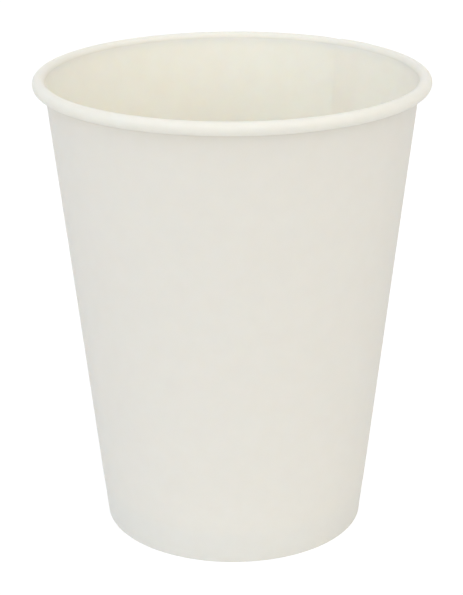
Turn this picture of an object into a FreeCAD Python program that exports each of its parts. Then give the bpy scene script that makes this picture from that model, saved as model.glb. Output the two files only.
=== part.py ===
import FreeCAD, Part
import math
import os

import Sketcher

# A paper coffee cup of two pieces of coated board. The origin is on the cup's axis,
# in the plane that the foot stands on, and +Z points up out of the mouth.

# Driving sizes, in millimetres, or in degrees where the comment says so.
SIZES = {
    "rim_diameter": 90.0,  # outside of the rolled rim
    "cup_height": 108.0,  # from the foot to the top of the rim
    "foot_diameter": 61.4,  # outside of the wall, carried down to the foot's plane
    "bead_diameter": 3.0,  # section of the rolled rim
    "tuck_turn": 150.0,  # degrees that the rolled edge goes on past the bead's underside
    "curl_gap": 0.12,  # space between the rolled edge and the turn that it lies in
    "wall_board": 0.35,  # thickness of the side blank
    "base_board": 0.28,  # thickness of the base blank
    "seal_gap": 0.02,  # space left between sealed faces
    "fold_radius": 0.3,  # outside corners of the folded hem
    "hem_height": 6.5,  # from the foot to the cut edge of the turned-in hem
    "base_recess": 8.0,  # from the foot to the underside of the base
    "base_bend": 0.8,  # outside radius where the base turns down into its skirt
    "lap_width": 7.0,  # overlap of the glued side seam
    "lap_ramp": 6.0,  # run over which the outer flap comes down beside the inner one
    "lap_bearing": 43.0,  # degrees from +X towards +Y, to the cut edge on the outside
}

# Ends of a line or an arc, and the centre of an arc, as a sketch counts them.
START = 1
END = 2
CENTRE = 3

# A sketch's own origin and its horizontal and vertical axes, as constraints name them.
ORIGIN = (-1, START)
ACROSS = -1
UPRIGHT = -2


def fill_sheet(doc):
    """Write each driving size to a cell that has its name."""
    sheet = doc.addObject("Spreadsheet::Sheet", "Sizes")
    for row, (name, value) in enumerate(SIZES.items(), start=1):
        sheet.set(f"A{row}", name)
        sheet.set(f"B{row}", str(value))
        sheet.setAlias(f"B{row}", name)
    doc.recompute()
    return sheet


def new_body(doc, name):
    body = doc.addObject("PartDesign::Body", name)
    body.Label = name
    return body


def new_sketch(body, name, plane, level=None, turn=None):
    """Attach a sketch to an origin plane, raised to a level and turned about the cup's axis."""
    sketch = body.newObject("Sketcher::SketchObject", name)
    for feature in body.Origin.OriginFeatures:
        if feature.Role == plane:
            sketch.AttachmentSupport = [(feature, "")]
    sketch.MapMode = "FlatFace"
    if level:
        sketch.setExpression("AttachmentOffset.Base.z", level)
    if turn:
        sketch.setExpression("AttachmentOffset.Rotation.Angle", turn)
    return sketch


def worked_out(sketch, formula):
    """Value of a formula, in millimetres, or in radians if it is an angle."""
    result = sketch.evalExpression(formula)
    if not isinstance(result, FreeCAD.Units.Quantity):
        return float(result)
    if result.Unit == FreeCAD.Units.Angle:
        return math.radians(result.Value)
    return result.Value


def dimension(sketch, kind, where, name, formula):
    """Add a named dimension that follows a formula of the driving sizes."""
    index = sketch.addConstraint(Sketcher.Constraint(kind, *where, worked_out(sketch, formula)))
    sketch.renameConstraint(index, name)
    sketch.setExpression("Constraints." + name, formula)


def constrain(sketch, kind, *pairs):
    """Add one constraint of this kind for each tuple of places."""
    for where in pairs:
        sketch.addConstraint(Sketcher.Constraint(kind, *where))


def spot(across, up):
    return FreeCAD.Vector(across, up, 0)


def line(sketch, first, last):
    return sketch.addGeometry(Part.LineSegment(first, last))


def arc(sketch, centre, radius, first, last):
    """Arc about a centre, anticlockwise between two angles in radians."""
    circle = Part.Circle(centre, FreeCAD.Vector(0, 0, 1), radius)
    return sketch.addGeometry(Part.ArcOfCircle(circle, first, last))


def guide_point(sketch, place):
    """Construction point, for a corner that a rounding has taken away."""
    return sketch.addGeometry(Part.Point(place), True)


def turned(angle, distance):
    return spot(distance * math.cos(angle), distance * math.sin(angle))


def wall_lean(sheet):
    """Angle of the wall above the table, from the foot's corner to its tangent with the bead."""
    bead = sheet.bead_diameter / 2
    across = sheet.rim_diameter / 2 - bead - sheet.foot_diameter / 2
    up = sheet.cup_height - bead
    return math.atan2(up, across) + math.asin((bead - sheet.wall_board) / math.hypot(across, up))


def draw_wall_section(sketch, sheet):
    """The side blank's section: one strip, rolled at the top and turned in at the foot."""
    board = sheet.wall_board
    bead = sheet.bead_diameter / 2
    roll = bead - board - sheet.curl_gap
    pocket = sheet.base_board + 2 * sheet.seal_gap
    hem_inside = board + pocket
    hem_outside = hem_inside + board
    fold = sheet.fold_radius
    lean = wall_lean(sheet)
    inward = lean + math.pi / 2
    outward = lean - math.pi / 2
    down = -math.pi / 2
    cut = 1.5 * math.pi - math.radians(sheet.tuck_turn)

    def at(depth, level):
        """Place at a depth inwards from the wall's outside, and at a level above the table."""
        across = sheet.foot_diameter / 2 - depth / math.sin(lean) + level / math.tan(lean)
        return spot(across, level)

    bead_centre = spot(sheet.rim_diameter / 2 - bead, sheet.cup_height - bead)
    roll_centre = bead_centre - spot(0, bead - roll)

    outside = line(sketch, at(0, fold), bead_centre + turned(inward, bead - board))
    bead_lining = arc(sketch, bead_centre, bead - board, down, inward)
    roll_lining = arc(sketch, roll_centre, roll - board, cut, 1.5 * math.pi)
    cut_edge = line(sketch, roll_centre + turned(cut, roll - board), roll_centre + turned(cut, roll))
    roll_face = arc(sketch, roll_centre, roll, cut, 1.5 * math.pi)
    bead_face = arc(sketch, bead_centre, bead, down, inward)
    inside = line(sketch, at(board, board), bead_centre + turned(inward, bead))
    pocket_floor = line(sketch, at(board, board), at(hem_inside, board))
    hem_face = line(sketch, at(hem_inside, board), at(hem_inside, sheet.hem_height))
    hem_edge = line(sketch, at(hem_inside, sheet.hem_height), at(hem_outside, sheet.hem_height))
    hem_back = line(sketch, at(hem_outside, sheet.hem_height), at(hem_outside, fold))
    inner_fold = arc(sketch, at(hem_outside - fold, fold), fold, inward, 1.5 * math.pi)
    foot = line(sketch, at(hem_outside - fold, 0), at(fold, 0))
    outer_fold = arc(sketch, at(fold, fold), fold, down, outward)
    foot_corner = guide_point(sketch, at(0, 0))

    constrain(
        sketch,
        "Tangent",
        (outside, END, bead_lining, END),
        (inside, END, bead_face, END),
        (bead_face, START, roll_face, END),
        (hem_back, END, inner_fold, START),
        (inner_fold, END, foot, START),
        (foot, END, outer_fold, START),
        (outer_fold, END, outside, START),
    )
    constrain(
        sketch,
        "Coincident",
        (bead_lining, START, roll_lining, END),
        (roll_lining, START, cut_edge, START),
        (cut_edge, END, roll_face, START),
        (bead_lining, CENTRE, bead_face, CENTRE),
        (roll_lining, CENTRE, roll_face, CENTRE),
        (inside, START, pocket_floor, START),
        (pocket_floor, END, hem_face, START),
        (hem_face, END, hem_edge, START),
        (hem_edge, END, hem_back, START),
    )
    constrain(
        sketch,
        "Vertical",
        (bead_face, CENTRE, bead_face, START),
        (bead_lining, CENTRE, bead_lining, START),
    )
    constrain(sketch, "Horizontal", (pocket_floor,), (foot,))
    constrain(sketch, "Parallel", (outside, inside), (hem_face, inside), (hem_back, inside))
    constrain(sketch, "Perpendicular", (hem_edge, hem_face))
    constrain(
        sketch,
        "PointOnObject",
        (roll_face, CENTRE, cut_edge),
        (foot, START, ACROSS),
        (foot_corner, START, ACROSS),
        (foot_corner, START, outside),
    )

    dimension(sketch, "DistanceX", (*ORIGIN, foot_corner, START), "foot_reach", "Sizes.foot_diameter / 2")
    dimension(
        sketch,
        "DistanceX",
        (*ORIGIN, bead_face, CENTRE),
        "bead_reach",
        "(Sizes.rim_diameter - Sizes.bead_diameter) / 2",
    )
    dimension(
        sketch,
        "DistanceY",
        (*ORIGIN, bead_face, CENTRE),
        "bead_level",
        "Sizes.cup_height - Sizes.bead_diameter / 2",
    )
    dimension(sketch, "Radius", (bead_face,), "bead_outside", "Sizes.bead_diameter / 2")
    dimension(sketch, "Radius", (bead_lining,), "bead_inside", "Sizes.bead_diameter / 2 - Sizes.wall_board")
    dimension(
        sketch,
        "Radius",
        (roll_face,),
        "roll_outside",
        "Sizes.bead_diameter / 2 - Sizes.wall_board - Sizes.curl_gap",
    )
    dimension(sketch, "Angle", (cut_edge,), "tuck_end", "270 deg - Sizes.tuck_turn * 1 deg")
    dimension(sketch, "DistanceY", (*ORIGIN, pocket_floor, START), "floor_level", "Sizes.wall_board")
    dimension(
        sketch,
        "Distance",
        (hem_face, START, inside),
        "pocket_width",
        "Sizes.base_board + 2 * Sizes.seal_gap",
    )
    dimension(sketch, "Distance", (hem_back, START, hem_face), "hem_board", "Sizes.wall_board")
    dimension(sketch, "DistanceY", (*ORIGIN, hem_edge, START), "hem_top", "Sizes.hem_height")
    dimension(sketch, "Radius", (outer_fold,), "outer_fold", "Sizes.fold_radius")
    dimension(sketch, "Radius", (inner_fold,), "inner_fold", "Sizes.fold_radius")

    lean_mark = sketch.addConstraint(Sketcher.Constraint("Angle", inside, lean))
    sketch.renameConstraint(lean_mark, "lean")
    sketch.setDriving(lean_mark, False)


def draw_base_section(sketch, sheet):
    """The base blank's section, from the axis out: flat disc, bend and skirt."""
    board = sheet.base_board
    bend = sheet.base_bend
    depth = sheet.wall_board + sheet.seal_gap
    top = sheet.base_recess + board
    skirt_end = depth
    lean = wall_lean(sheet)
    outward = lean - math.pi / 2
    up = math.pi / 2

    def at(inset, level):
        """Place inwards from the skirt's outside, and at a level above the table."""
        across = sheet.foot_diameter / 2 - (depth + inset) / math.sin(lean) + level / math.tan(lean)
        return spot(across, level)

    centre = at(bend, top - bend)
    upper_face = line(sketch, spot(0, top), centre + turned(up, bend))
    outer_bend = arc(sketch, centre, bend, outward, up)
    skirt_face = line(sketch, at(0, skirt_end), centre + turned(outward, bend))
    skirt_edge = line(sketch, at(0, skirt_end), at(board, skirt_end))
    skirt_back = line(sketch, at(board, skirt_end), centre + turned(outward, bend - board))
    inner_bend = arc(sketch, centre, bend - board, outward, up)
    underside = line(sketch, spot(0, sheet.base_recess), centre + turned(up, bend - board))
    axis_side = line(sketch, spot(0, sheet.base_recess), spot(0, top))
    skirt_corner = guide_point(sketch, at(0, 0))

    constrain(
        sketch,
        "Tangent",
        (upper_face, END, outer_bend, END),
        (skirt_face, END, outer_bend, START),
        (skirt_back, END, inner_bend, START),
        (underside, END, inner_bend, END),
    )
    constrain(
        sketch,
        "Coincident",
        (skirt_face, START, skirt_edge, START),
        (skirt_edge, END, skirt_back, START),
        (underside, START, axis_side, START),
        (axis_side, END, upper_face, START),
        (inner_bend, CENTRE, outer_bend, CENTRE),
    )
    constrain(sketch, "Horizontal", (upper_face,), (skirt_edge,), (underside,))
    constrain(sketch, "Parallel", (skirt_back, skirt_face))
    constrain(
        sketch,
        "PointOnObject",
        (axis_side, START, UPRIGHT),
        (axis_side, END, UPRIGHT),
        (skirt_corner, START, ACROSS),
        (skirt_corner, START, skirt_face),
    )

    dimension(sketch, "Angle", (skirt_face,), "skirt_lean", "WallSection.Constraints.lean")
    dimension(
        sketch,
        "DistanceX",
        (*ORIGIN, skirt_corner, START),
        "skirt_reach",
        "Sizes.foot_diameter / 2 - (Sizes.wall_board + Sizes.seal_gap) / sin(WallSection.Constraints.lean)",
    )
    dimension(sketch, "DistanceY", (*ORIGIN, underside, START), "recess", "Sizes.base_recess")
    dimension(
        sketch,
        "DistanceY",
        (*ORIGIN, skirt_edge, START),
        "skirt_end",
        "Sizes.wall_board + Sizes.seal_gap",
    )
    dimension(sketch, "Radius", (outer_bend,), "bend_outside", "Sizes.base_bend")
    dimension(sketch, "Radius", (inner_bend,), "bend_inside", "Sizes.base_bend - Sizes.base_board")


# Formulas of the side seam, for one level of the wall.
WALL_OUTSIDE = "(Sizes.foot_diameter / 2 + ({level}) / tan(WallSection.Constraints.lean))"
BOARD_ACROSS = "(Sizes.wall_board / sin(WallSection.Constraints.lean))"
FLAP_OUTSIDE = f"({WALL_OUTSIDE} + {BOARD_ACROSS})"
WALL_INSIDE = f"({WALL_OUTSIDE} - {BOARD_ACROSS})"
LAP_TURN = f"(2 * asin(Sizes.lap_width / (2 * {FLAP_OUTSIDE})))"
RAMP_TURN = f"(2 * asin(Sizes.lap_ramp / (2 * {WALL_OUTSIDE})))"
SEAM_FOOT = "Sizes.fold_radius"
SEAM_TOP = "Sizes.cup_height - Sizes.bead_diameter"


def draw_outer_flap(sketch, level):
    """Across the seam, outside: the flap lies one board proud, then comes down to the wall."""

    def formula(text):
        return text.format(level=level)

    crest = worked_out(sketch, formula(FLAP_OUTSIDE))
    wall = worked_out(sketch, formula(WALL_OUTSIDE))
    buried = wall - worked_out(sketch, "Sizes.wall_board / 2")
    lap = worked_out(sketch, formula(LAP_TURN))
    ramp = worked_out(sketch, formula(RAMP_TURN))
    centre = spot(0, 0)

    cut_edge = line(sketch, spot(buried, 0), spot(crest, 0))
    flap_face = arc(sketch, centre, crest, 0, lap)
    ramp_face = line(sketch, turned(lap, crest), turned(lap + ramp, wall))
    ramp_end = line(sketch, turned(lap + ramp, wall), turned(lap + ramp, buried))
    buried_face = arc(sketch, centre, buried, 0, lap + ramp)

    constrain(
        sketch,
        "Coincident",
        (flap_face, CENTRE, *ORIGIN),
        (buried_face, CENTRE, *ORIGIN),
        (cut_edge, END, flap_face, START),
        (flap_face, END, ramp_face, START),
        (ramp_face, END, ramp_end, START),
        (ramp_end, END, buried_face, END),
        (buried_face, START, cut_edge, START),
    )
    constrain(sketch, "PointOnObject", (cut_edge, START, ACROSS), (cut_edge, END, ACROSS))
    constrain(sketch, "PointOnObject", (*ORIGIN, ramp_end))

    dimension(sketch, "Radius", (flap_face,), "flap_outside", formula(FLAP_OUTSIDE))
    dimension(sketch, "Radius", (buried_face,), "buried", formula(f"{WALL_OUTSIDE} - Sizes.wall_board / 2"))
    dimension(sketch, "Distance", (flap_face, START, flap_face, END), "lap_width", "Sizes.lap_width")
    dimension(sketch, "Distance", (ramp_face, START, ramp_face, END), "lap_ramp", "Sizes.lap_ramp")
    dimension(sketch, "Distance", (*ORIGIN, ramp_face, END), "ramp_foot", formula(WALL_OUTSIDE))


def draw_inner_step(sketch, level):
    """Across the seam, inside: beyond the inner flap's cut edge the wall stands one board back."""

    def formula(text):
        return text.format(level=level)

    wall = worked_out(sketch, formula(WALL_INSIDE))
    back = worked_out(sketch, formula(WALL_OUTSIDE))
    clear = wall - worked_out(sketch, "Sizes.wall_board")
    lap = worked_out(sketch, formula(LAP_TURN))
    ramp = worked_out(sketch, formula(RAMP_TURN))

    cut_edge = line(sketch, turned(lap, clear), turned(lap, back))
    ramp_face = line(sketch, turned(lap, back), turned(lap + ramp, wall))
    open_side = line(sketch, turned(lap + ramp, wall), turned(lap, clear))

    constrain(
        sketch,
        "Coincident",
        (cut_edge, END, ramp_face, START),
        (ramp_face, END, open_side, START),
        (open_side, END, cut_edge, START),
    )
    constrain(sketch, "PointOnObject", (*ORIGIN, cut_edge))

    dimension(sketch, "Angle", (cut_edge,), "lap_turn", formula(LAP_TURN))
    dimension(sketch, "Distance", (*ORIGIN, cut_edge, END), "step_back", formula(WALL_OUTSIDE))
    dimension(
        sketch,
        "Distance",
        (*ORIGIN, cut_edge, START),
        "clear_of_wall",
        formula(f"{WALL_INSIDE} - Sizes.wall_board"),
    )
    dimension(sketch, "Distance", (*ORIGIN, ramp_face, END), "ramp_foot", formula(WALL_INSIDE))
    dimension(sketch, "Distance", (ramp_face, START, ramp_face, END), "lap_ramp", "Sizes.lap_ramp")


def spin(body, name, sketch):
    """Full turn of a section about the cup's axis."""
    feature = body.newObject("PartDesign::Revolution", name)
    feature.Profile = (sketch, [""])
    feature.ReferenceAxis = (sketch, ["V_Axis"])
    feature.Angle = 360.0
    sketch.Visibility = False
    return feature


def run_along_seam(body, kind, name, draw):
    """Straight run of one shape up the seam, from just above the foot's fold to under the bead."""
    ends = []
    for place, level in (("Foot", SEAM_FOOT), ("Top", SEAM_TOP)):
        sketch = new_sketch(body, name + place, "XY_Plane", level, "Sizes.lap_bearing * 1 deg")
        draw(sketch, level)
        ends.append(sketch)
    feature = body.newObject(kind, name)
    feature.Profile = (ends[0], [""])
    feature.Sections = [(ends[1], [""])]
    feature.Ruled = True
    return feature


def build_side_wall(doc, sheet):
    body = new_body(doc, "side_wall")
    section = new_sketch(body, "WallSection", "XZ_Plane")
    draw_wall_section(section, sheet)
    spin(body, "WrappedWall", section)
    doc.recompute()
    run_along_seam(body, "PartDesign::AdditiveLoft", "OuterFlap", draw_outer_flap)
    doc.recompute()
    run_along_seam(body, "PartDesign::SubtractiveLoft", "InnerStep", draw_inner_step)
    return body


def build_base_disc(doc, sheet):
    body = new_body(doc, "base_disc")
    section = new_sketch(body, "BaseSection", "XZ_Plane")
    draw_base_section(section, sheet)
    spin(body, "BentDisc", section)
    return body


def check(doc, pieces):
    """Stop if any object failed, or a piece isn't one sound solid."""
    for item in doc.Objects:
        for flag in ("Invalid", "Error"):
            if flag in item.State:
                raise RuntimeError(f"{item.Name} failed: {item.State}")
    for piece in pieces:
        shape = piece.Shape
        if shape.isNull() or not shape.isValid() or len(shape.Solids) != 1:
            raise RuntimeError(f"{piece.Label} isn't one sound solid")


def main():
    doc = FreeCAD.newDocument("PaperCup")
    sheet = fill_sheet(doc)
    pieces = [build_side_wall(doc, sheet), build_base_disc(doc, sheet)]
    doc.recompute()
    check(doc, pieces)
    os.makedirs("parts", exist_ok=True)
    for piece in pieces:
        piece.Shape.exportStep(f"parts/{piece.Label}.step")
        box = piece.Shape.BoundBox
        print(f"{piece.Label}: {piece.Shape.Volume:.1f} mm3, Z {box.ZMin:.3f} to {box.ZMax:.3f},"
              f" X {box.XMin:.3f} to {box.XMax:.3f}")


main()
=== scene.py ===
# %% [markdown]
# A plain paper cup for hot drinks, dressed over its measured frame. The frame has two pieces, the
# side wall and the base disc, each already at its real size. The lesson redraws both as finer
# meshes of the same form, gives the board its finish, and lights it as in a product picture.
# The frame is loaded first, because the rim, the height and the top of the base are read from it below.

# %% Load the frame
import math

import bmesh
import bpy
from mathutils import Matrix, Vector, noise


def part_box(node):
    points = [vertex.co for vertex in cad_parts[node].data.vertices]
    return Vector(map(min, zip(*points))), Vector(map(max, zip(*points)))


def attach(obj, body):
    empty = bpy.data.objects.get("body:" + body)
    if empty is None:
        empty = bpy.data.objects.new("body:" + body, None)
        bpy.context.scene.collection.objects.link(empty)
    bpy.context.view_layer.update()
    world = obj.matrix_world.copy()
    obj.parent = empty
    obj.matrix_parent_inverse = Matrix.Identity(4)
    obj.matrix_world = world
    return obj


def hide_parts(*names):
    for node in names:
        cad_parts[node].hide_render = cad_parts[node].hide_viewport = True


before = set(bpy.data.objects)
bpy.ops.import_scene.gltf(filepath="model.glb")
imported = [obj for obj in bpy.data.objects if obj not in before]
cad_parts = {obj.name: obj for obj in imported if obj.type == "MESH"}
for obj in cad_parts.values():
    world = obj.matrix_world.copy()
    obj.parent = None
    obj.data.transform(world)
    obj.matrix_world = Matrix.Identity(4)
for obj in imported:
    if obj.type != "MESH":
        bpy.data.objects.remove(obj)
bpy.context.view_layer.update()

# %% [markdown]
# A cup is fixed by a few sizes: the rim, the height, the foot, the rolled bead and the board.
# The rim and the height could be typed in again, but they are read from the frame instead, so the
# mesh follows the frame if that changes. The sizes that a box can't show are named here.

# %% Sizes of the cup
MM = 0.001
RIM_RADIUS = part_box("side_wall")[1].x
CUP_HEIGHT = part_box("side_wall")[1].z
BASE_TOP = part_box("base_disc")[1].z
FOOT_RADIUS = 30.7 * MM
BEAD = 1.5 * MM
WALL_BOARD = 0.35 * MM
BASE_BOARD = 0.28 * MM
SEAL_GAP = 0.02 * MM
CURL_GAP = 0.12 * MM
FOLD = 0.3 * MM
HEM_HEIGHT = 6.5 * MM
BASE_BEND = 0.8 * MM
TUCK_TURN = math.radians(150)
print("rim radius, mm:", round(RIM_RADIUS / MM, 3), "height, mm:", round(CUP_HEIGHT / MM, 3))

# %% [markdown]
# The wall leans outwards, and its two faces run into the bead without a corner. So the lean isn't
# free: it is the angle of the line from the foot's corner that just touches the bead's lining.
# Angles are measured in the section, from the horizontal, anticlockwise.

# %% The wall's lean
bead_centre = Vector((RIM_RADIUS - BEAD, 0, CUP_HEIGHT - BEAD))
reach = bead_centre.x - FOOT_RADIUS
touch = math.asin((BEAD - WALL_BOARD) / math.hypot(reach, bead_centre.z))
LEAN = math.atan2(bead_centre.z, reach) + touch
OUTWARD = LEAN - math.pi / 2
INWARD = LEAN + math.pi / 2
DOWN = -math.pi / 2
UP = math.pi / 2
print("taper, degrees:", round(90 - math.degrees(LEAN), 3))


def turned(angle, length=1.0):
    """Vector in the section, at an angle from the horizontal."""
    return Vector((length * math.cos(angle), 0, length * math.sin(angle)))


def in_wall(depth, level):
    """Point of the section, at a depth inwards from the wall's outside and a level above the table."""
    return Vector((FOOT_RADIUS - depth / math.sin(LEAN) + level / math.tan(LEAN), 0, level))


# %% [markdown]
# The picture was taken from a little above the rim. A camera fitted to the cup's outline stands
# 424 mm away, 20.4 degrees up, so the section can be looked at from there as soon as it is drawn.
# The lens follows from the fit's focal length in pixels and the picture's longer side. The camera
# was held a quarter of a degree out of level, which the fit gives as a roll about its own axis.

# %% Camera
PICTURE_HIGH = 595
FOCAL_PIXELS = 1796.18
CAMERA_RISE = math.radians(20.425)
CAMERA_ROLL = math.radians(-0.28)
CAMERA_AWAY = 424 * MM
NEAREST = 10 * MM
AIM = Vector((-0.362 * MM, 0, 53.757 * MM))

camera = bpy.data.objects.new("camera", bpy.data.cameras.new("camera"))
bpy.context.scene.collection.objects.link(camera)
camera.data.lens = camera.data.sensor_width * FOCAL_PIXELS / PICTURE_HIGH
camera.data.clip_start = NEAREST
to_camera = Vector((0, -math.cos(CAMERA_RISE), math.sin(CAMERA_RISE)))
camera.location = AIM + CAMERA_AWAY * to_camera
upright = (-to_camera).to_track_quat("-Z", "Y").to_matrix()
camera.rotation_euler = (upright @ Matrix.Rotation(CAMERA_ROLL, 3, "Z")).to_euler()
bpy.context.scene.camera = camera
print("lens, mm:", round(camera.data.lens, 2))

# %% [markdown]
# Each piece is cut from flat board, so its section is one closed outline with a real thickness.
# The outline is drawn as short wires, one for each stretch between corners, and then swept round
# the cup's axis. Three facts are written on a wire's points, and spin copies them round: the
# finish of its faces, the side of the board that it is on, and the direction across the board.
# They could be worked out again after the sweep, but inside a roll 3 mm across that is hard.

# %% Wires that carry facts
UNCOATED = 0
COATED = 1
CUT = 2
KNURLED = 3
ROLLED = 4
OUTER_SIDE = 1.0
INNER_SIDE = -1.0
NOWHERE = Vector((0, 0, 0))
AXIS_ACROSS = (0, -1, 0)
AXIS_UP = (0, 0, 1)
SPIN_PLAIN = {"dvec": (0, 0, 0), "use_merge": False, "use_normal_flip": False}
SAME_PLACE = 0.001 * MM


def new_board():
    """Empty mesh whose points carry the three facts."""
    board = bmesh.new()
    board.verts.layers.int.new("finish")
    board.verts.layers.float.new("side")
    board.verts.layers.float_vector.new("across")
    return board


def mark(board, point, finish, side, across):
    """Writes the three facts on a point."""
    point[board.verts.layers.int["finish"]] = finish
    point[board.verts.layers.float["side"]] = side
    point[board.verts.layers.float_vector["across"]] = across


def new_points(board, known):
    """Points of the edges drawn since the known ones."""
    edges = [edge for edge in board.edges if edge not in known]
    return dict.fromkeys(point for edge in edges for point in edge.verts)


def draw_line(board, first, last, parts, finish, side, across=NOWHERE):
    """Straight wire in equal parts, from one corner to the next."""
    known = set(board.edges)
    grown = bmesh.ops.extrude_vert_indiv(board, verts=[board.verts.new(first)])
    grown["verts"][0].co = last
    if parts > 1:
        bmesh.ops.subdivide_edges(board, edges=grown["edges"], cuts=parts - 1)
    for point in new_points(board, known):
        mark(board, point, finish, side, across)


def draw_arc(board, centre, radius, angles, parts, finish, side, across_sign=0):
    """Wire along an arc. Across the board is along the radius, out for 1, in for -1, nowhere for 0."""
    known = set(board.edges)
    start = board.verts.new(centre + turned(angles[0], radius))
    bmesh.ops.spin(board, geom=[start], cent=centre, axis=AXIS_ACROSS, angle=angles[1] - angles[0],
                   steps=parts, use_duplicate=False, **SPIN_PLAIN)
    for point in new_points(board, known):
        mark(board, point, finish, side, across_sign * (point.co - centre).normalized())


print("finish numbers:", UNCOATED, COATED, CUT, KNURLED, ROLLED)

# %% [markdown]
# The side wall is one strip of board. Its outside face runs from the hem's cut edge round the fold
# at the foot, up the wall and into the bead's lining. Its inside face, which is the coated one,
# comes back from the tuck over the outside of the bead and down into the pocket that holds the
# base. The outline could be one face given a Solidify modifier, but the tuck and the pocket need
# both faces of the board in their own places, so both are drawn.

# %% Places in the side wall's section
pocket = BASE_BOARD + 2 * SEAL_GAP
hem_face = WALL_BOARD + pocket
hem_back = hem_face + WALL_BOARD
roll = BEAD - WALL_BOARD - CURL_GAP
roll_centre = bead_centre - Vector((0, 0, BEAD - roll))
DOWN_AGAIN = DOWN + math.tau
tuck_end = DOWN_AGAIN - TUCK_TURN
bead_arc = (DOWN, INWARD)
roll_arc = (tuck_end, DOWN_AGAIN)
outer_fold = in_wall(FOLD, FOLD)
inner_fold = in_wall(hem_back - FOLD, FOLD)
BAND_TOP = 8.9 * MM
BAND_FOOT = 7.7 * MM
KNURL_HEAD = 5.9 * MM
KNURL_FOOT = 0.9 * MM
KNURL_END = 0.4 * MM
SEAM_TOP = CUP_HEIGHT - 2 * BEAD
SEAM_GONE = SEAM_TOP + 0.6 * MM
BEAD_START = SEAM_TOP - 2.5 * MM
FOLD_ROWS = 4
BEAD_ROWS = 28
HIDDEN_ROLL_ROWS = 8
print("hem, mm inwards from the outside face:", round(hem_back / MM, 2))

# %% Draw the outside face of the side wall
wall = new_board()
# Places up the outside face, each with the number of rows from it to the next one.
face_places = [
    (outer_fold + turned(OUTWARD, FOLD), 2),
    (in_wall(0, BAND_FOOT), 5),
    (in_wall(0, BAND_TOP), 16),
    (in_wall(0, SEAM_TOP), 2),
    (in_wall(0, SEAM_GONE), 1),
    (bead_centre + turned(INWARD, BEAD - WALL_BOARD), 0),
]
for (low, rows), (high, _) in zip(face_places, face_places[1:]):
    draw_line(wall, low, high, rows, UNCOATED, OUTER_SIDE, turned(OUTWARD))
draw_arc(wall, outer_fold, FOLD, (DOWN, OUTWARD), FOLD_ROWS, UNCOATED, OUTER_SIDE, 1)
draw_line(wall, inner_fold + turned(DOWN, FOLD), outer_fold + turned(DOWN, FOLD),
          1, UNCOATED, OUTER_SIDE, turned(DOWN))
draw_arc(wall, inner_fold, FOLD, (INWARD, DOWN_AGAIN), FOLD_ROWS, UNCOATED, OUTER_SIDE, 1)
knurl_levels = (HEM_HEIGHT, KNURL_HEAD, KNURL_HEAD - KNURL_END, KNURL_FOOT + KNURL_END, KNURL_FOOT)
hem_places = [in_wall(hem_back, level) for level in knurl_levels]
hem_places.append(inner_fold + turned(INWARD, FOLD))
for high, low in zip(hem_places, hem_places[1:]):
    draw_line(wall, high, low, 1, KNURLED, OUTER_SIDE, turned(INWARD))
draw_arc(wall, bead_centre, BEAD - WALL_BOARD, bead_arc, HIDDEN_ROLL_ROWS, UNCOATED, OUTER_SIDE)
draw_arc(wall, roll_centre, roll - WALL_BOARD, roll_arc, HIDDEN_ROLL_ROWS, UNCOATED, OUTER_SIDE)
print("points so far:", len(wall.verts))

# %% Draw its inside face and its two cut edges
WALL_ROWS = 17
TOP_ROWS = 3
pocket_corner = in_wall(WALL_BOARD, WALL_BOARD)
pocket_foot = in_wall(hem_face, WALL_BOARD)
pocket_rim = in_wall(hem_face, HEM_HEIGHT)
draw_line(wall, pocket_corner, in_wall(WALL_BOARD, BEAD_START),
          WALL_ROWS, COATED, INNER_SIDE, turned(OUTWARD))
draw_line(wall, in_wall(WALL_BOARD, BEAD_START), bead_centre + turned(INWARD, BEAD),
          TOP_ROWS, COATED, INNER_SIDE, turned(OUTWARD))
draw_arc(wall, bead_centre, BEAD, bead_arc, BEAD_ROWS, ROLLED, INNER_SIDE, -1)
draw_arc(wall, roll_centre, roll, roll_arc, HIDDEN_ROLL_ROWS, COATED, INNER_SIDE)
draw_line(wall, roll_centre + turned(tuck_end, roll - WALL_BOARD), roll_centre + turned(tuck_end, roll),
          1, CUT, INNER_SIDE)
draw_line(wall, pocket_corner, pocket_foot, 1, COATED, INNER_SIDE)
draw_line(wall, pocket_foot, pocket_rim, 1, COATED, INNER_SIDE)
draw_line(wall, pocket_rim, in_wall(hem_back, HEM_HEIGHT), 1, CUT, OUTER_SIDE, turned(INWARD))
# Two wires meet at the pocket's rim. The seam's steps must leave both ends in one place.
for point in wall.verts:
    if (point.co - pocket_rim).length < SAME_PLACE:
        mark(wall, point, point[wall.verts.layers.int["finish"]], OUTER_SIDE, NOWHERE)
print("points in the side wall's section:", len(wall.verts))

# %% [markdown]
# The wall's blank is glued to itself in a lap 7 mm wide. Outside, its raw edge stands a board's
# thickness proud, and past the lap the outer flap ramps back down to the wall. So the sweep isn't
# one even spin: it starts with the seam's sectors, with a very narrow one at each raw edge, where
# the step is. The rest of the turn is one panel, spun once and then copied round, because a spin
# of hundreds of steps slows down as its mesh grows.

# %% Sweep a section round the cup
SEAM_POLAR = math.radians(43)
SEAM_RADIUS = bead_centre.x
LAP = 7.0 * MM
RAMP = 6.0 * MM
RAW_EDGE = 0.02 * MM
# Each sector has its name, its width at the rim and its number of steps.
SEAM_SECTORS = (
    ("outer raw edge", RAW_EDGE, 1),
    ("lap", LAP, 18),
    ("inner raw edge", RAW_EDGE, 1),
    ("ramp", RAMP, 15),
)
PANELS = 24
WALL_PANEL_STEPS = 19


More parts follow.
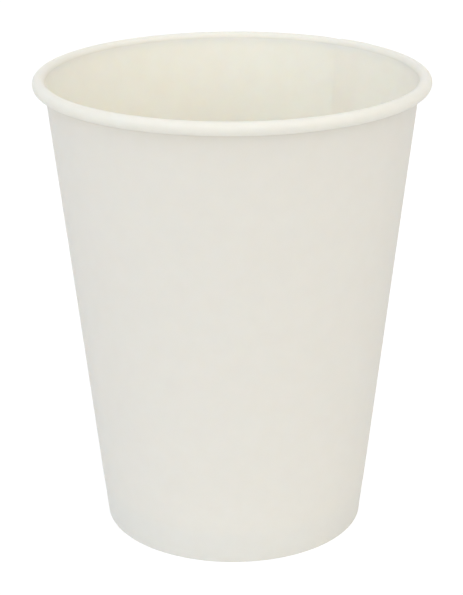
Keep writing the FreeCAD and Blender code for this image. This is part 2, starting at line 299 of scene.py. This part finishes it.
def sweep(board, sectors, panel_steps):
    """Sweeps a section once round the axis: the seam's sectors first, then equal panels."""
    seam = sum(width for name, width, steps in sectors) / SEAM_RADIUS
    first_edge = sectors[0][1] / SEAM_RADIUS if sectors else 0
    bmesh.ops.rotate(board, verts=board.verts, cent=NOWHERE,
                     matrix=Matrix.Rotation(SEAM_POLAR - first_edge, 3, "Z"))
    finish = board.verts.layers.int["finish"]
    across = board.verts.layers.float_vector["across"]
    side = board.verts.layers.float["side"]
    raw_side = {"outer raw edge": OUTER_SIDE, "inner raw edge": INNER_SIDE}
    end = [*board.verts, *board.edges]
    panel = (math.tau - seam) / PANELS
    for name, width, steps in (*sectors, ("panel", panel * SEAM_RADIUS, panel_steps)):
        known = set(board.faces)
        end = bmesh.ops.spin(board, geom=end, cent=NOWHERE, axis=AXIS_UP, angle=width / SEAM_RADIUS,
                             steps=steps, use_duplicate=False, **SPIN_PLAIN)["geom_last"]
        grown = [face for face in board.faces if face not in known]
        for face in grown:
            corner = face.verts[0]
            is_step = raw_side.get(name) == corner[side] and corner[across].length > 0
            face.material_index = CUT if is_step else corner[finish]
    edges = [edge for face in grown for edge in face.edges]
    points = [point for face in grown for point in face.verts]
    parts = list(dict.fromkeys([*grown, *edges, *points]))
    bmesh.ops.spin(board, geom=parts, cent=NOWHERE, axis=AXIS_UP, angle=panel * (PANELS - 1),
                   steps=PANELS - 1, use_duplicate=True, **SPIN_PLAIN)
    bmesh.ops.remove_doubles(board, verts=board.verts, dist=SAME_PLACE)


sweep(wall, SEAM_SECTORS, WALL_PANEL_STEPS)
print("side wall:", len(wall.faces), "faces,", sum(not e.is_manifold for e in wall.edges), "open edges")

# %% [markdown]
# Swept like this the wall is a perfect turning with nothing wrapped about it. Each point is now
# moved by what wrapping does to it. First the columns near the seam are turned so that the lap
# keeps its width down the taper, as the edge of a flat blank does. Then the outer flap steps out
# by the board's thickness at its raw edge, and the inner face steps the same way where the board
# under it ends. The bead is rolled from both layers, so it swells a little and has a softer step.
# Neither reaches the bead's underside, where the roll goes back in against the wall.

# %% Wrap the wall round its seam
BEAD_SWELL = 0.08 * MM
BEAD_STEP = 0.5
SWELL_START = 3.0 * MM
BEHIND_SEAM = 5.0 * MM
ROUND_THE_FOLD = 0.9 * FOLD
LEAVES_WALL = (0.99, 0.6)
LEAVES_UNDERSIDE = (1, 0.5)


def fade(value, start, end):
    """0 up to start, 1 from end, and smooth in between. start may be the larger one."""
    share = min(max((value - start) / (end - start), 0), 1)
    return share * share * (3 - 2 * share)


def along_seam(point):
    """How far round from the outer raw edge a point is, measured at the rim, from just behind it."""
    behind = BEHIND_SEAM / SEAM_RADIUS
    turn = math.atan2(point.y, point.x) - SEAM_POLAR
    return ((turn + behind) % math.tau - behind) * SEAM_RADIUS


def flap_height(along):
    """1 on the lap, falling to 0 at the end of the ramp."""
    share = min(max((along - LAP) / RAMP, 0), 1)
    return (1 - share) ** 2 if along > -RAW_EDGE / 2 else 0


def step_height(along):
    """The same past the inner raw edge, and 0 on the lap."""
    return flap_height(along) if along > LAP + RAW_EDGE / 2 else 0


def swell(along):
    """1 where both layers are rolled into the bead."""
    return fade(along, -SWELL_START, 0) if along < LAP + RAW_EDGE / 2 else 0


def wrap(board):
    """Turns the columns to the lap's width, and steps the two faces at the raw edges."""
    side = board.verts.layers.float["side"]
    across = board.verts.layers.float_vector["across"]
    seam = LAP + RAMP
    for point in board.verts:
        along = along_seam(point.co)
        radius = point.co.xy.length
        on_seam = min(max(along, 0), seam)
        squeeze = (math.tau - seam / radius) / (math.tau - seam / SEAM_RADIUS)
        polar = SEAM_POLAR + on_seam / radius + squeeze * (along - on_seam) / SEAM_RADIUS
        place = Vector((radius, 0, point.co.z))
        direction = point[across].copy()
        if point[side] == OUTER_SIDE:
            lift = flap_height(along) * fade(point.co.z, SEAM_GONE, SEAM_TOP)
            if point.co.z < ROUND_THE_FOLD:
                direction.z = 0
        else:
            off_underside = fade(direction.z, *LEAVES_UNDERSIDE)
            in_bead = fade(direction.x, *LEAVES_WALL) * off_underside
            at_bead = fade(place.z, BEAD_START, SEAM_TOP)
            lift = step_height(along) * off_underside * (1 - at_bead * (1 - BEAD_STEP))
            place -= direction * BEAD_SWELL * swell(along) * in_bead
        place += direction * WALL_BOARD * lift
        point.co = Matrix.Rotation(polar, 3, "Z") @ place


def reach_of(board):
    """The mesh's size along each axis, in millimetres."""
    spans = [[point.co[axis] for point in board.verts] for axis in range(3)]
    return [round((max(span) - min(span)) / MM, 2) for span in spans]


wrap(wall)
print("side wall, mm:", reach_of(wall))

# %% [markdown]
# Board is never quite true. A wrapped wall keeps a slow unevenness of a few hundredths of a
# millimetre, the bead is a little irregular from its rolling, and below the base the wall is
# pressed against the skirt, which leaves a faint line round the foot. Noise read at each point's
# own place gives the first two. A Displace modifier with a cloud texture could do it as well, but
# both faces of the board must move together, or its thickness would change.

# %% Unevenness and the pressed foot
WALL_WAVE = 0.06 * MM
BEAD_WAVE = 0.03 * MM
PRESSED = 0.06 * MM
WAVE_ROUND = 16 * MM
WAVE_UP = 42 * MM
BEAD_GRAIN = 9 * MM
WAVE_ENDS = 14 * MM


def uneven(place):
    """Slow unevenness, longer up the wall than round it."""
    return noise.noise(Vector((place.x / WAVE_ROUND, place.y / WAVE_ROUND, place.z / WAVE_UP)))


def settle(board):
    """Moves both faces of the board together, and presses the outside in below the base."""
    side = board.verts.layers.float["side"]
    for point in board.verts:
        polar = math.atan2(point.co.y, point.co.x)
        level = point.co.z
        outward = Vector((math.cos(polar), math.sin(polar), 0))
        on_face = outward * (FOOT_RADIUS + level / math.tan(LEAN)) + Vector((0, 0, level))
        on_wall = fade(level, 0, WAVE_ENDS) * fade(level, CUP_HEIGHT, CUP_HEIGHT - WAVE_ENDS)
        in_bead = fade(level, SEAM_TOP, CUP_HEIGHT - BEAD)
        move = WALL_WAVE * on_wall * uneven(on_face)
        move += BEAD_WAVE * in_bead * noise.noise(on_face / BEAD_GRAIN)
        inwards = on_face.xy.length - point.co.xy.length
        if point[side] == OUTER_SIDE and inwards < WALL_BOARD / 2:
            move -= PRESSED * fade(level, BAND_TOP, BAND_FOOT)
        point.co += outward * move


settle(wall)
print("side wall, mm:", reach_of(wall))

# %% [markdown]
# The hem is pressed onto the skirt by a toothed wheel that runs round inside the foot, and its
# teeth leave close upright ribs. They could be a bump in the hem's material, but they are large
# enough to show as a shape from below, so the hem's free face is moved in and out as a wave.

# %% Press the ribs into the hem
RIBS = 123
RIB_DEPTH = 0.14 * MM


def press_ribs(board):
    """Moves the hem's free face in and out by half the ribs' depth, fading at both ends."""
    finish = board.verts.layers.int["finish"]
    for point in board.verts:
        if point[finish] == KNURLED:
            outward = point.co.xy.normalized()
            wave = math.sin(RIBS * math.atan2(point.co.y, point.co.x))
            from_foot = fade(point.co.z, KNURL_FOOT, KNURL_FOOT + KNURL_END)
            from_head = fade(point.co.z, KNURL_HEAD, KNURL_HEAD - KNURL_END)
            point.co.xy += outward * RIB_DEPTH / 2 * wave * from_foot * from_head


press_ribs(wall)
print("pitch of the ribs, mm:", round(math.tau * (FOOT_RADIUS - hem_back) / RIBS / MM, 2))

# %% [markdown]
# The base is a round blank with its edge bent down into a skirt. On the real cup the skirt gathers
# at the bend, because the edge of a flat disc is too long for a narrower ring, and the middle
# stays very slightly dished. A bent circle could be made with Solidify and Bevel, but the bend's two
# radii differ by the board, so its outline is drawn like the wall's and swept the same way.

# %% Draw and sweep the base disc
DISH = 0.12 * MM
GATHER = 0.05 * MM
GATHERS = 70
GATHER_REACH = 2.5 * MM
BEND_ROWS = 6
FLAT_ROWS = 14
OUTER_SKIRT_ROWS = 2
INNER_SKIRT_ROWS = 4
BASE_PANEL_STEPS = 15
skirt = WALL_BOARD + SEAL_GAP
inner_bend = BASE_BEND - BASE_BOARD
bend_centre = in_wall(skirt + BASE_BEND, BASE_TOP - BASE_BEND)
upper = (bend_centre + turned(UP, BASE_BEND), bend_centre + turned(UP, inner_bend))
skirt_foot = (in_wall(skirt, skirt), in_wall(skirt + BASE_BOARD, skirt))
skirt_top = (bend_centre + turned(OUTWARD, BASE_BEND), bend_centre + turned(OUTWARD, inner_bend))

base = new_board()
draw_line(base, Vector((0, 0, BASE_TOP)), upper[0], FLAT_ROWS, COATED, INNER_SIDE)
draw_arc(base, bend_centre, BASE_BEND, (OUTWARD, UP), BEND_ROWS, COATED, INNER_SIDE)
draw_line(base, skirt_foot[0], skirt_top[0], OUTER_SKIRT_ROWS, COATED, INNER_SIDE)
draw_line(base, skirt_foot[0], skirt_foot[1], 1, CUT, OUTER_SIDE)
draw_line(base, skirt_foot[1], skirt_top[1], INNER_SKIRT_ROWS, UNCOATED, OUTER_SIDE)
draw_arc(base, bend_centre, inner_bend, (OUTWARD, UP), BEND_ROWS, UNCOATED, OUTER_SIDE)
draw_line(base, Vector((0, 0, BASE_TOP - BASE_BOARD)), upper[1], FLAT_ROWS, UNCOATED, OUTER_SIDE)
sweep(base, (), BASE_PANEL_STEPS)
print("base disc:", len(base.faces), "faces,", sum(not e.is_manifold for e in base.edges), "open edges")

# %% Dish the base and gather its bend
# A gather takes about two units of noise, so this circle in the noise carries them all.
GATHER_CIRCLE = GATHERS / 3

for point in base.verts:
    polar = math.atan2(point.co.y, point.co.x)
    radius = point.co.xy.length
    to_centre = 1 - radius / upper[0].x
    at_bend = fade(radius, upper[0].x - GATHER_REACH, upper[0].x)
    at_bend *= fade(point.co.z, HEM_HEIGHT, BASE_TOP - BASE_BEND)
    wave = noise.noise(Vector((GATHER_CIRCLE * math.cos(polar), GATHER_CIRCLE * math.sin(polar), 0)))
    point.co.z -= DISH * fade(to_centre, 0, 1) + GATHER * at_bend * (0.5 + wave)
print("base disc, mm:", reach_of(base))

# %% [markdown]
# Both meshes are closed shells, so their normals can be recalculated to point out of the board all
# round. They are shaded smooth, with sharp edges only where the board is cut or the seam steps.
# A Smooth by Angle modifier would do the same, but the marks are kept in the mesh, because this
# needs no modifier. The CAD nodes stay for collision and these pieces stand for them.

# %% Make the two pieces
SHARP = math.radians(34)


def make_piece(board, name, node):
    """Object from a finished bmesh, riding the cup and standing for a node."""
    bmesh.ops.recalc_face_normals(board, faces=board.faces)
    mesh = bpy.data.meshes.new(name)
    board.to_mesh(mesh)
    board.free()
    for fact in ("finish", "side", "across"):
        mesh.attributes.remove(mesh.attributes[fact])
    mesh.shade_smooth()
    mesh.set_sharp_from_angle(angle=SHARP)
    piece = bpy.data.objects.new(name, mesh)
    bpy.context.scene.collection.objects.link(piece)
    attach(piece, "root")
    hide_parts(node)
    print(name, "has", sum(len(face.vertices) - 2 for face in mesh.polygons), "triangles")
    return piece


wall_piece = make_piece(wall, "rolled_side_wall", "side_wall")
base_piece = make_piece(base, "set_in_base", "base_disc")

# %% [markdown]
# Cup board is bleached fibre with a thin clear coating on the inside only. The outside is matt: it
# has a cloudy formation a few millimetres across, which shows when light comes through paper, and
# short fibres under it. A photograph of board would give both, but it repeats and has one size, so
# they are noise on Object coordinates, in millimetres, with the fibres drawn out along the board.
# Thin white board also lets light through from face to face. Transmission would make it glass, so
# the finishes scatter it under the surface instead, over about the board's own thickness.

# %% Helpers for the finishes
BOARD_TINT = (0.795, 0.775, 0.715)
# Paler than the coated board itself: part of this tint is painted light for the inside of the cup.
COATED_PAINTED_LIGHT_TINT = (0.95, 0.91, 0.832)
# The coated board again, made darker: painted shade on the bead's upward face.
BEAD_PAINTED_SHADE_TINT = (0.88, 0.85, 0.765)
GLOW = 0.55
COATED_GLOW = 0.8
GLOW_REACH = 0.48 * MM
GLOW_TINT = (1.0, 0.85, 0.7)
CLOUD_RANGE = (0.3, 0.7)


def new_finish(name, roughness_range, grain, glow=GLOW):
    """Board finish: cloudy roughness, scattering under the surface. Returns what the rest, colour too,
    hangs on.
    """
    material = bpy.data.materials.new(name)
    material.use_nodes = True
    nodes = material.node_tree.nodes
    shader = nodes["Principled BSDF"]
    shader.inputs["Subsurface Weight"].default_value = glow
    shader.inputs["Subsurface Radius"].default_value = GLOW_TINT
    shader.inputs["Subsurface Scale"].default_value = GLOW_REACH
    places = nodes.new("ShaderNodeTexCoord")
    cloud = nodes.new("ShaderNodeTexNoise")
    cloud.inputs["Scale"].default_value = 1 / (grain * MM)
    cloud.inputs["Detail"].default_value = 3
    material.node_tree.links.new(places.outputs["Object"], cloud.inputs["Vector"])
    roughness = nodes.new("ShaderNodeMapRange")
    roughness.inputs["To Min"].default_value, roughness.inputs["To Max"].default_value = roughness_range
    material.node_tree.links.new(cloud.outputs["Fac"], roughness.inputs["Value"])
    material.node_tree.links.new(roughness.outputs["Result"], shader.inputs["Roughness"])
    return material, shader, places, cloud


def colour_by(material, shader, source, low, high):
    """Colour between two tints by a noise's value."""
    ramp = material.node_tree.nodes.new("ShaderNodeValToRGB")
    for element, position, tint in zip(ramp.color_ramp.elements, CLOUD_RANGE, (low, high)):
        element.position = position
        element.color = (*tint, 1)
    material.node_tree.links.new(source, ramp.inputs["Fac"])
    material.node_tree.links.new(ramp.outputs["Color"], shader.inputs["Base Color"])


def relief(material, shader, source, depth, under=None):
    """Bump of a depth in millimetres, over another bump or none."""
    bump = material.node_tree.nodes.new("ShaderNodeBump")
    bump.inputs["Strength"].default_value = 1
    bump.inputs["Distance"].default_value = depth * MM
    material.node_tree.links.new(source, bump.inputs["Height"])
    if under:
        material.node_tree.links.new(under.outputs["Normal"], bump.inputs["Normal"])
    material.node_tree.links.new(bump.outputs["Normal"], shader.inputs["Normal"])
    return bump


def tinted(tint, factor, warm=0.0):
    """A tint, scaled, and warmer by a share."""
    return tuple(factor * part * shift for part, shift in zip(tint, (1 + warm, 1, 1 - 2 * warm)))


print("tints of the outside, the inside and the bead:", BOARD_TINT, COATED_PAINTED_LIGHT_TINT, BEAD_PAINTED_SHADE_TINT)

# %% Matt outside face
def add_fibres(material, places, size, drawn_out):
    """Short fibres: fine noise, drawn out up the cup."""
    nodes = material.node_tree.nodes
    stretch = nodes.new("ShaderNodeMapping")
    stretch.inputs["Scale"].default_value = (1, 1, 1 / drawn_out)
    fibres = nodes.new("ShaderNodeTexNoise")
    fibres.inputs["Scale"].default_value = 1 / (size * MM)
    fibres.inputs["Detail"].default_value = 4
    fibres.inputs["Distortion"].default_value = 0.6
    material.node_tree.links.new(places.outputs["Object"], stretch.inputs["Vector"])
    material.node_tree.links.new(stretch.outputs["Vector"], fibres.inputs["Vector"])
    return fibres


matt, shader, places, cloud = new_finish("matt_cup_board", roughness_range=(0.56, 0.72), grain=4.0)
shader.inputs["Specular IOR Level"].default_value = 0.35
colour_by(matt, shader, cloud.outputs["Fac"],
          low=tinted(BOARD_TINT, factor=0.992, warm=0.002), high=tinted(BOARD_TINT, factor=1.008))
fibres = add_fibres(matt, places, size=0.35, drawn_out=2.5)
cloudy = relief(matt, shader, cloud.outputs["Fac"], depth=0.02)
relief(matt, shader, fibres.outputs["Fac"], depth=0.010, under=cloudy)
print(matt.name, "has", len(matt.node_tree.nodes), "nodes")

# %% [markdown]
# Inside, the coating fills the fibres, so the face is smoother, with a soft sheen and a very
# shallow peel like an orange's. A clear coat over matt board could stand for it, but the coating
# takes the board's own texture, so a lower roughness and a coarser, shallower relief is closer.
# Its tint is paler and warmer than the outside's. Part of that is the coating's own colour and part
# is painted light, which makes the inside of the cup brighter than the lamps alone make it.

# %% Coated inside face
coated, shader, places, cloud = new_finish("coated_board_painted_light", roughness_range=(0.36, 0.46), grain=5.0,
                                           glow=COATED_GLOW)
colour_by(coated, shader, cloud.outputs["Fac"],
          low=tinted(COATED_PAINTED_LIGHT_TINT, factor=0.99, warm=0.004), high=tinted(COATED_PAINTED_LIGHT_TINT, factor=1.01))
peel = add_fibres(coated, places, size=1.3, drawn_out=1.4)
relief(coated, shader, peel.outputs["Fac"], depth=0.012)
print(coated.name, "has", len(coated.node_tree.nodes), "nodes")

# %% [markdown]
# The same coated face comes out over the bead, where the board has been stretched round the
# roll, so its coating is a little rougher, with fine creases across the roll. Its tint is the coated
# board's, made darker and greyer. That is painted shade, so that the bead's upward face comes out no
# brighter than the wall. The creases could be modelled, but they are a hundredth of a millimetre
# deep, so they are a relief.

# %% Coated face where it is rolled
rolled, shader, places, cloud = new_finish("rolled_bead_painted_shade", roughness_range=(0.42, 0.54), grain=3.0)
colour_by(rolled, shader, cloud.outputs["Fac"],
          low=tinted(BEAD_PAINTED_SHADE_TINT, factor=0.99, warm=0.003), high=tinted(BEAD_PAINTED_SHADE_TINT, factor=1.01))
creases = add_fibres(rolled, places, size=0.5, drawn_out=3)
relief(rolled, shader, creases.outputs["Fac"], depth=0.012)
print(rolled.name, "has", len(rolled.node_tree.nodes), "nodes")

# %% [markdown]
# A cut edge shows the board's inside: bare fibre in layers, a little darker and warmer. The layers
# could be modelled, but the edge is only a third of a millimetre wide, so short streaks are enough.

# %% Cut edge
cut, shader, places, cloud = new_finish("cut_board_edge", roughness_range=(0.8, 0.95), grain=1.2)
shader.inputs["Specular IOR Level"].default_value = 0.2
layers = add_fibres(cut, places, size=0.12, drawn_out=6)
colour_by(cut, shader, layers.outputs["Fac"],
          low=tinted(BOARD_TINT, factor=0.84, warm=0.02),
          high=tinted(BOARD_TINT, factor=0.97, warm=0.01))
relief(cut, shader, layers.outputs["Fac"], depth=0.02)
print(cut.name, "has", len(cut.node_tree.nodes), "nodes")

# %% [markdown]
# The toothed wheel also presses the board's surface together, so the ribs are a little smoother
# than the outside face and catch more light. The hem's finish is the matt one with those changes.

# %% Knurled hem
knurled, shader, places, cloud = new_finish("knurled_hem_board", roughness_range=(0.46, 0.60),
                                            grain=4.0)
shader.inputs["Specular IOR Level"].default_value = 0.42
colour_by(knurled, shader, cloud.outputs["Fac"],
          low=tinted(BOARD_TINT, factor=0.98, warm=0.003), high=tinted(BOARD_TINT, factor=1.005))
pressed_fibres = add_fibres(knurled, places, size=0.35, drawn_out=2.5)
relief(knurled, shader, pressed_fibres.outputs["Fac"], depth=0.008)
print(knurled.name, "has", len(knurled.node_tree.nodes), "nodes")

# %% [markdown]
# The faces already carry the number of their finish from the sweep, so each piece only needs the
# same list of finishes in the order of those numbers. Faces could be picked by hand or by place,
# but the number follows from the wire that a face grew from, and so can't miss one.

# %% Give the finishes to the pieces
for piece in (wall_piece, base_piece):
    for finish in (matt, coated, cut, knurled, rolled):
        piece.data.materials.append(finish)
print("finishes:", [finish.name for finish in wall_piece.data.materials])

# %% [markdown]
# The picture has a plain white ground with no edge. The floor is a wide plane whose light on the
# cup is that of pale card. The camera and the cup's reflections see it mixed with white, so it has
# no horizon, and the cup's shadow stays on it, faint. A shadow catcher would need a composite.

# %% Floor
FLOOR_HALF = 1.5
FLOOR_TINT = (0.95, 0.95, 0.95)
FLOOR_WHITE = 1.1
SHADOW_SHARE = 0.2

ground = bmesh.new()
bmesh.ops.create_grid(ground, x_segments=1, y_segments=1, size=FLOOR_HALF)
floor_mesh = bpy.data.meshes.new("floor")
ground.to_mesh(floor_mesh)
ground.free()
floor = bpy.data.objects.new("floor", floor_mesh)
bpy.context.scene.collection.objects.link(floor)


def calculate(tree, operation, first, second):
    """Math node with its inputs linked or set."""
    node = tree.nodes.new("ShaderNodeMath")
    node.operation = operation
    for socket, value in zip(node.inputs, (first, second)):
        if isinstance(value, float):
            socket.default_value = value
        else:
            tree.links.new(value, socket)
    return node.outputs["Value"]


def seen_rays(tree):
    """1 for the camera's rays and for reflections and see-through, 0 for light on other things."""
    rays = tree.nodes.new("ShaderNodeLightPath")
    reflected = calculate(tree, "MAXIMUM", rays.outputs["Is Camera Ray"], rays.outputs["Is Glossy Ray"])
    return calculate(tree, "MAXIMUM", reflected, rays.outputs["Is Transmission Ray"])


def mix(tree, factor, first, second):
    """Mix Shader node between two shaders, by a set or linked factor."""
    node = tree.nodes.new("ShaderNodeMixShader")
    if isinstance(factor, float):
        node.inputs["Fac"].default_value = factor
    else:
        tree.links.new(factor, node.inputs["Fac"])
    tree.links.new(first, node.inputs[1])
    tree.links.new(second, node.inputs[2])
    return node.outputs["Shader"]


card = bpy.data.materials.new("pale_card")
card.use_nodes = True
tree = card.node_tree
tree.nodes.remove(tree.nodes["Principled BSDF"])
lit = tree.nodes.new("ShaderNodeBsdfDiffuse")
lit.inputs["Color"].default_value = (*FLOOR_TINT, 1)
white = tree.nodes.new("ShaderNodeEmission")
white.inputs["Strength"].default_value = FLOOR_WHITE
seen = mix(tree, SHADOW_SHARE, white.outputs["Emission"], lit.outputs["BSDF"])
tree.links.new(mix(tree, seen_rays(tree), lit.outputs["BSDF"], seen),
               tree.nodes["Material Output"].inputs["Surface"])
floor_mesh.materials.append(card)
print("floor, metres across:", 2 * FLOOR_HALF)

# %% [markdown]
# The light is that of a bright studio tent: even from all round, with a little more from above and
# from the front. The room's own light comes from the world, which is brighter in a band low down,
# so that the wall under the bead isn't left dark. Each wide sun stands for one side of the tent.
# Area lamps could do it, but their strength falls with distance, and a sun's doesn't.

# %% Lamps and world
# Each has its azimuth, rise and spread in degrees, its level and its tint.
SUNS = {
    "left": ((-60, 50, 70), 0.235, (0.9, 1.0, 1.16)),
    "right": ((60, 50, 70), 0.235, (1.05, 1.0, 0.92)),
    "front": ((-5, 14, 40), 0.14, (1.0, 1.0, 1.0)),
    "above": ((0, 90, 100), 0.17, (1.0, 1.0, 1.0)),
}
ROOM_LIGHT = 0.2
ROOM_BAND = 0.52
BAND_FALL = 3.0
# Height times its fall is 1 / 9.5 at its greatest, a quarter of the way up.
BAND_PEAK = 9.5

for name, ((azimuth, rise, spread), level, tint) in SUNS.items():
    lamp = bpy.data.lights.new(name + "_sun", "SUN")
    lamp.angle = math.radians(spread)
    lamp.energy = level * math.pi
    lamp.color = tint
    sun = bpy.data.objects.new(name + "_sun", lamp)
    around, up = math.radians(azimuth), math.radians(rise)
    towards = Vector((math.sin(around) * math.cos(up), -math.cos(around) * math.cos(up), math.sin(up)))
    sun.rotation_euler = (-towards).to_track_quat("-Z", "Y").to_euler()
    bpy.context.scene.collection.objects.link(sun)

world = bpy.data.worlds.new("tent")
bpy.context.scene.world = world
world.use_nodes = True
tree = world.node_tree
room = tree.nodes["Background"]
room.inputs["Color"].default_value = (1, 1, 1, 1)
direction = tree.nodes.new("ShaderNodeSeparateXYZ")
tree.links.new(tree.nodes.new("ShaderNodeTexCoord").outputs["Generated"], direction.inputs["Vector"])
height = direction.outputs["Z"]
fall = calculate(tree, "POWER", calculate(tree, "SUBTRACT", 1.0, height), BAND_FALL)
band = calculate(tree, "MAXIMUM", calculate(tree, "MULTIPLY", height, fall), 0.0)
strength = calculate(tree, "ADD", calculate(tree, "MULTIPLY", band, BAND_PEAK * ROOM_BAND), ROOM_LIGHT)
tree.links.new(strength, room.inputs["Strength"])
backdrop = tree.nodes.new("ShaderNodeBackground")
backdrop.inputs["Color"].default_value = (1, 1, 1, 1)
tree.links.new(mix(tree, seen_rays(tree), room.outputs["Background"], backdrop.outputs["Background"]),
               tree.nodes["World Output"].inputs["Surface"])
bpy.context.scene.view_settings.view_transform = "Standard"
print("lamps:", {name: level for name, (place, level, tint) in SUNS.items()}, "room:", ROOM_LIGHT)
